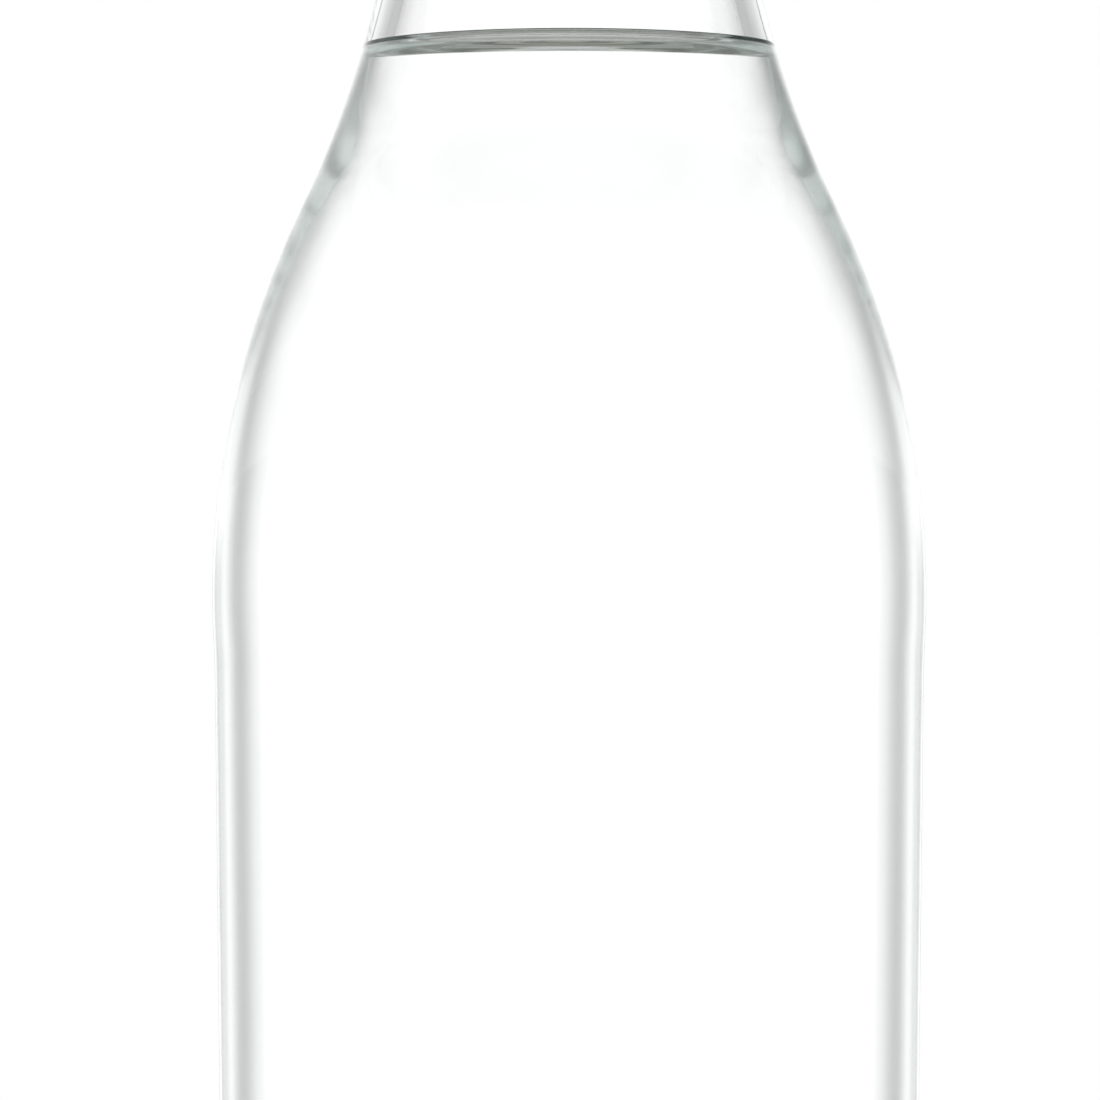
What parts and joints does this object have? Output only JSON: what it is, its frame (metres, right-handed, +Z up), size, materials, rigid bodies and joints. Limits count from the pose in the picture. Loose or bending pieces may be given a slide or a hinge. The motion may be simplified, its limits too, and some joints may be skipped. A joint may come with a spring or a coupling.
{
  "type": "tequila bottle",
  "caption": "Slim clear glass spirits bottle with long sloping shoulders, filled with clear tequila to the neck and closed by a cork with a turned wooden head.",
  "frame": {"origin": "centre of the base, in the plane of the ring that the bottle stands on", "axes": "+Z up along the bottle's axis; the bottle is round, so +X and +Y are free"},
  "size_m": [0.076, 0.076, 0.304],
  "materials": {
    "clear_glass": "polished clear flint glass",
    "clear_spirit": "clear colourless liquid",
    "natural_cork": "natural cork, fine pores",
    "turned_wood": "turned hardwood, satin oil"
  },
  "bodies": {
    "root": {"glass_bottle": "clear_glass", "spirit": "clear_spirit", "cork": "natural_cork", "stopper_head": "turned_wood"}
  },
  "joints": []
}
